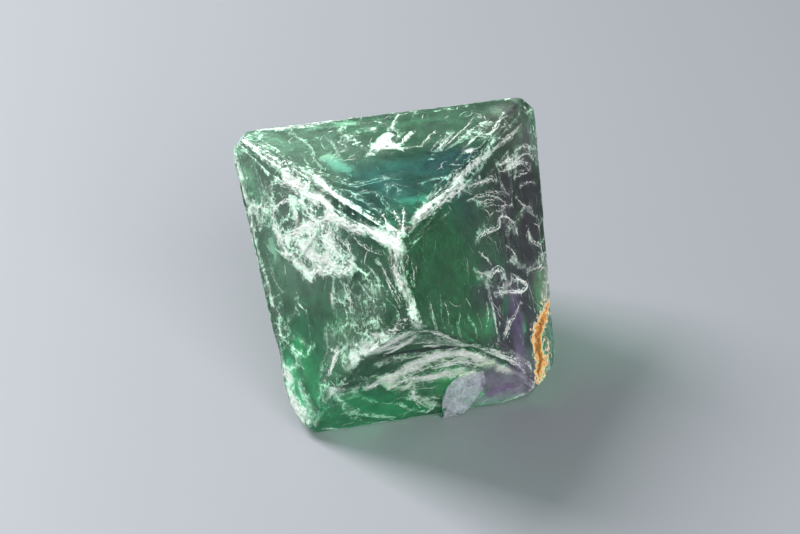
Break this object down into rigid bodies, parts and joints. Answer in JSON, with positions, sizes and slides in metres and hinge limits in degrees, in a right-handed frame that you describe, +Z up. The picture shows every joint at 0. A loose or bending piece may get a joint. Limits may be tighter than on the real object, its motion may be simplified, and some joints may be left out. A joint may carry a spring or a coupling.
{
  "type": "fluorite octahedron",
  "caption": "Natural cleaved fluorite octahedron lying on one face, clear green with purple zones, worn corners and an iron-stained chip.",
  "frame": {"origin": "middle of the bounding box, on the level of the cleavage face that the crystal rests on", "axes": "+Z up, square to the resting face; -Y towards the short front ridge; +X to the right seen from the front"},
  "size_m": [0.04, 0.0446, 0.0325],
  "materials": {
    "fluorite": "glassy cleavage faces, frosted along the edges"
  },
  "bodies": {
    "root": {"fluorite_octahedron": "fluorite"}
  },
  "joints": []
}
